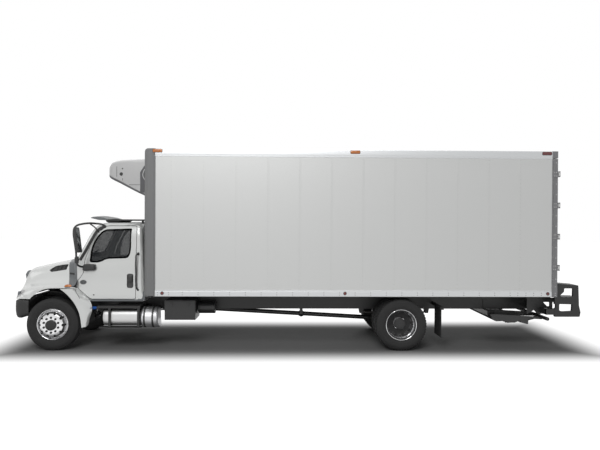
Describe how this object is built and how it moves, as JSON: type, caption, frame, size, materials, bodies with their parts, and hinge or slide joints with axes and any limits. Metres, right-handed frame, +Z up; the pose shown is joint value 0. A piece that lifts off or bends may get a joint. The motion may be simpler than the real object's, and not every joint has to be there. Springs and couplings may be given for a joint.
{
  "type": "refrigerated box truck",
  "caption": "Conventional-cab refrigerated box truck: tilting hood, opening doors, steered front wheels, dual rear wheels, nose-mounted cooling unit, swing cargo doors and stowed liftgate.",
  "frame": {"origin": "on the ground, midway between the bumper's face and the rear step frames' rear face, on the centre line", "axes": "+X runs to the rear along the truck, +Y to the passenger's (right) side, +Z up; the nose looks along -X"},
  "size_m": [10.95, 2.87, 3.8769],
  "materials": {
    "black_frame": "satin",
    "spring_steel": "rough",
    "shaft_steel": "satin",
    "engine_grey": "rough",
    "black_plastic": "satin",
    "white_paint": "gloss",
    "tinted_glass": "gloss",
    "interior_grey": "matte",
    "seat_cloth": "matte",
    "grey_plastic": "satin",
    "light_grey": "gloss",
    "reefer_white": "gloss",
    "reefer_grey": "satin",
    "rail_aluminium": "satin",
    "box_sheet": "satin",
    "roof_sheet": "satin",
    "floor_aluminium": "satin",
    "rear_steel": "satin",
    "lamp_lens": "gloss",
    "black_steel": "satin",
    "lift_steel": "rough",
    "tank_aluminium": "satin",
    "canister_metal": "satin",
    "flap_rubber": "matte",
    "headlamp_lens": "gloss",
    "polished_alloy": "polished",
    "door_sheet": "satin",
    "lock_steel": "satin",
    "tyre_rubber": "matte"
  },
  "bodies": {
    "chassis": {"frame_rails": "black_frame", "frame_cross_members": "black_frame", "front_axle": "black_frame", "rear_axle": "black_frame", "leaf_springs": "spring_steel", "driveline": "shaft_steel", "engine": "engine_grey", "front_bumper": "black_plastic", "hood_hinge_plates": "black_frame", "cab_shell": "white_paint", "cab_windows": "tinted_glass", "dashboard": "interior_grey", "seats": "seat_cloth", "fender_extensions": "white_paint", "cowl_panels": "grey_plastic", "roof_blade": "light_grey", "reefer_housing": "reefer_white", "reefer_base": "reefer_grey", "box_rails": "rail_aluminium", "box_walls": "box_sheet", "box_front_wall": "box_sheet", "box_roof": "roof_sheet", "box_floor": "floor_aluminium", "box_rear_frame": "rear_steel", "marker_lamps": "lamp_lens", "rear_step_frames": "black_steel", "liftgate_mount": "black_steel", "fuel_tanks": "tank_aluminium", "tank_brackets": "black_steel", "exhaust_canister": "canister_metal", "side_boxes": "black_plastic", "mud_flaps": "flap_rubber"},
    "hood": {"hood_shell": "white_paint", "hood_grille": "grey_plastic", "hood_lamps": "headlamp_lens"},
    "left_door": {"door_left": "white_paint", "door_glass_left": "tinted_glass", "mirror_left": "black_plastic"},
    "right_door": {"door_right": "white_paint", "door_glass_right": "tinted_glass", "mirror_right": "black_plastic"},
    "left_knuckle": {"knuckle_left": "black_frame"},
    "right_knuckle": {"knuckle_right": "black_frame"},
    "tie_rod": {"tie_rod": "black_frame"},
    "left_front_wheel": {"front_wheel_left": "polished_alloy", "front_tyre_left": "tyre_rubber"},
    "right_front_wheel": {"front_wheel_right": "polished_alloy", "front_tyre_right": "tyre_rubber"},
    "left_rear_wheels": {"rear_wheels_left": "polished_alloy", "rear_tyres_left": "tyre_rubber"},
    "right_rear_wheels": {"rear_wheels_right": "polished_alloy", "rear_tyres_right": "tyre_rubber"},
    "left_cargo_door": {"cargo_door_left": "door_sheet", "cargo_locks_left": "lock_steel"},
    "right_cargo_door": {"cargo_door_right": "door_sheet", "cargo_locks_right": "lock_steel"},
    "liftgate_arms": {"liftgate_arms": "black_steel"},
    "liftgate_platform": {"liftgate_platform": "lift_steel"}
  },
  "joints": [
    {"name": "left_steer", "type": "hinge", "parent": "chassis", "child": "left_knuckle", "pos_m": [-4.715, -0.95, 0.5], "axis": [0, 0, 1], "range_deg": [-38, 38]},
    {"name": "right_steer", "type": "hinge", "parent": "chassis", "child": "right_knuckle", "pos_m": [-4.715, 0.95, 0.5], "axis": [0, 0, 1], "range_deg": [-38, 38]},
    {"name": "tie_rod_swing", "type": "hinge", "parent": "left_knuckle", "child": "tie_rod", "pos_m": [-4.535, -0.95, 0.38], "axis": [0, 0, 1], "range_deg": [-38, 38]},
    {"name": "left_front_spin", "type": "hinge", "parent": "left_knuckle", "child": "left_front_wheel", "pos_m": [-4.715, -1.035, 0.5], "axis": [0, 1, 0], "continuous": true},
    {"name": "left_rear_spin", "type": "hinge", "parent": "chassis", "child": "left_rear_wheels", "pos_m": [1.998, -0.92, 0.5], "axis": [0, 1, 0], "continuous": true},
    {"name": "right_front_spin", "type": "hinge", "parent": "right_knuckle", "child": "right_front_wheel", "pos_m": [-4.715, 1.035, 0.5], "axis": [0, 1, 0], "continuous": true},
    {"name": "right_rear_spin", "type": "hinge", "parent": "chassis", "child": "right_rear_wheels", "pos_m": [1.998, 0.92, 0.5], "axis": [0, 1, 0], "continuous": true},
    {"name": "hood_tilt", "type": "hinge", "parent": "chassis", "child": "hood", "pos_m": [-5.437, 0, 1.01], "axis": [0, -1, 0], "range_deg": [0, 75]},
    {"name": "left_door_swing", "type": "hinge", "parent": "chassis", "child": "left_door", "pos_m": [-4.269, -1.016, 1.25], "axis": [0, 0, -1], "range_deg": [0, 70]},
    {"name": "right_door_swing", "type": "hinge", "parent": "chassis", "child": "right_door", "pos_m": [-4.269, 1.016, 1.25], "axis": [0, 0, 1], "range_deg": [0, 70]},
    {"name": "left_cargo_door_swing", "type": "hinge", "parent": "chassis", "child": "left_cargo_door", "pos_m": [5.026, -1.32, 2.53], "axis": [0, 0, -1], "range_deg": [0, 270]},
    {"name": "right_cargo_door_swing", "type": "hinge", "parent": "chassis", "child": "right_cargo_door", "pos_m": [5.026, 1.32, 2.53], "axis": [0, 0, 1], "range_deg": [0, 270]},
    {"name": "liftgate_lower", "type": "hinge", "parent": "chassis", "child": "liftgate_arms", "pos_m": [3.985, 0, 0.65], "axis": [0, 1, 0], "range_deg": [0, 26]},
    {"name": "liftgate_level", "type": "hinge", "parent": "liftgate_arms", "child": "liftgate_platform", "pos_m": [4.875, 0, 0.615], "axis": [0, 1, 0], "range_deg": [-26, 0]}
  ],
  "couplings": [
    {"joint": "right_steer", "follows": "left_steer", "ratio": 1},
    {"joint": "tie_rod_swing", "follows": "left_steer", "ratio": -1},
    {"joint": "liftgate_level", "follows": "liftgate_lower", "ratio": -1}
  ]
}
